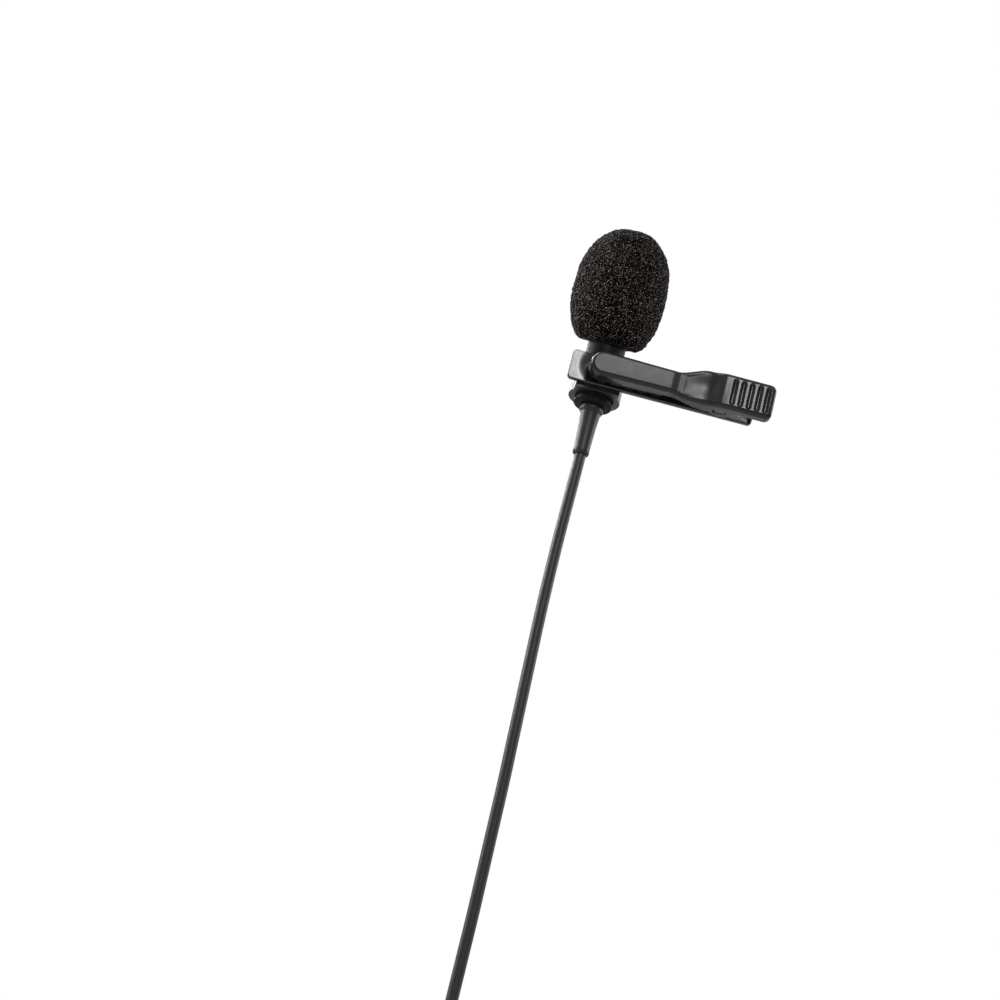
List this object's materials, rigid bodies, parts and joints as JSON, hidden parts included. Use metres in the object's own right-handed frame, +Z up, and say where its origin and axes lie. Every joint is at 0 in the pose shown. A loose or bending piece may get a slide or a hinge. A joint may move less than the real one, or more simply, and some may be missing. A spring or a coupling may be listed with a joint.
{
  "type": "lavalier microphone",
  "caption": "Small clip-on microphone with a foam ball, a slim barrel, a two-lever spring clip, a coiled cord and a 3.5 mm plug.",
  "frame": {"origin": "on the rear lever's gripping face, at the middle of its width, where the first tooth of the jaw closes", "axes": "+X from the jaw tip towards the thumb grips, +Y from the front lever to the microphone, +Z up along the microphone's axis"},
  "size_m": [0.0457, 0.0225, 0.2382],
  "materials": {
    "clip_plastic": "black moulded plastic with a fine spark texture, slightly glossy",
    "holder_plastic": "black moulded plastic, smooth",
    "pin_steel": "blackened steel, satin",
    "spring_steel": "drawn music wire",
    "barrel_metal": "black anodised aluminium, satin",
    "grille_metal": "black anodised aluminium, perforated",
    "mesh_steel": "woven wire",
    "rubber_black": "soft black rubber",
    "can_aluminium": "drawn aluminium",
    "felt_black": "thin pressed felt",
    "film_gold": "metallised film on its ring",
    "spacer_film": "clear polyester spacer",
    "brass_plate": "plated brass",
    "insulator_white": "moulded insulator",
    "transistor_black": "moulded package with tinned leads",
    "board_green": "green circuit board with tinned pads",
    "wire_red": "thin wire insulation",
    "crimp_steel": "plated steel collar",
    "relief_rubber": "moulded soft black rubber",
    "foam_black": "open-cell acoustic foam",
    "cord_black": "smooth black cord jacket, satin",
    "tie_black": "woven hook-and-loop strap",
    "plug_plastic": "moulded black plastic, satin",
    "contact_metal": "nickel-plated brass",
    "contact_insulator": "moulded insulating rings"
  },
  "bodies": {
    "clip_base": {"rear_lever": "clip_plastic", "holder_ring": "holder_plastic", "hinge_pin": "pin_steel", "torsion_spring": "spring_steel"},
    "grip_lever": {"front_lever": "clip_plastic"},
    "microphone": {"barrel": "barrel_metal", "grille_cap": "grille_metal", "grille_mesh": "mesh_steel", "capsule_boot": "rubber_black", "capsule_can": "can_aluminium", "dust_felt": "felt_black", "diaphragm": "film_gold", "spacer_ring": "spacer_film", "back_plate": "brass_plate", "insulator_cup": "insulator_white", "contact_ring": "brass_plate", "transistor": "transistor_black", "capsule_board": "board_green", "lead_wires": "wire_red", "cord_core": "cord_black", "cord_crimp": "crimp_steel", "end_cap": "barrel_metal", "strain_relief": "relief_rubber", "cord_drop": "cord_black", "cord_coil": "cord_black", "cord_tie": "tie_black", "cord_tail": "cord_black", "plug_boot": "relief_rubber", "plug_shell": "plug_plastic", "plug_sleeve": "contact_metal", "plug_ring": "contact_metal", "plug_tip": "contact_metal", "plug_insulators": "contact_insulator"},
    "windscreen": {"foam_windscreen": "foam_black"}
  },
  "joints": [
    {"name": "jaw_pivot", "type": "hinge", "parent": "clip_base", "child": "grip_lever", "pos_m": [0.0246, -0.00309, 0], "axis": [0, 0, 1], "range_deg": [0, 20], "stiffness_Nm_per_rad": 0.06, "springref_deg": -34.38, "deforming": ["torsion_spring"]},
    {"name": "mic_swivel", "type": "hinge", "parent": "clip_base", "child": "microphone", "pos_m": [0.002, 0.00539, 0], "axis": [0, 0, 1], "continuous": true},
    {"name": "windscreen_pull", "type": "slide", "parent": "microphone", "child": "windscreen", "axis": [0, 0, 1], "range_m": [0, 0.012]}
  ]
}
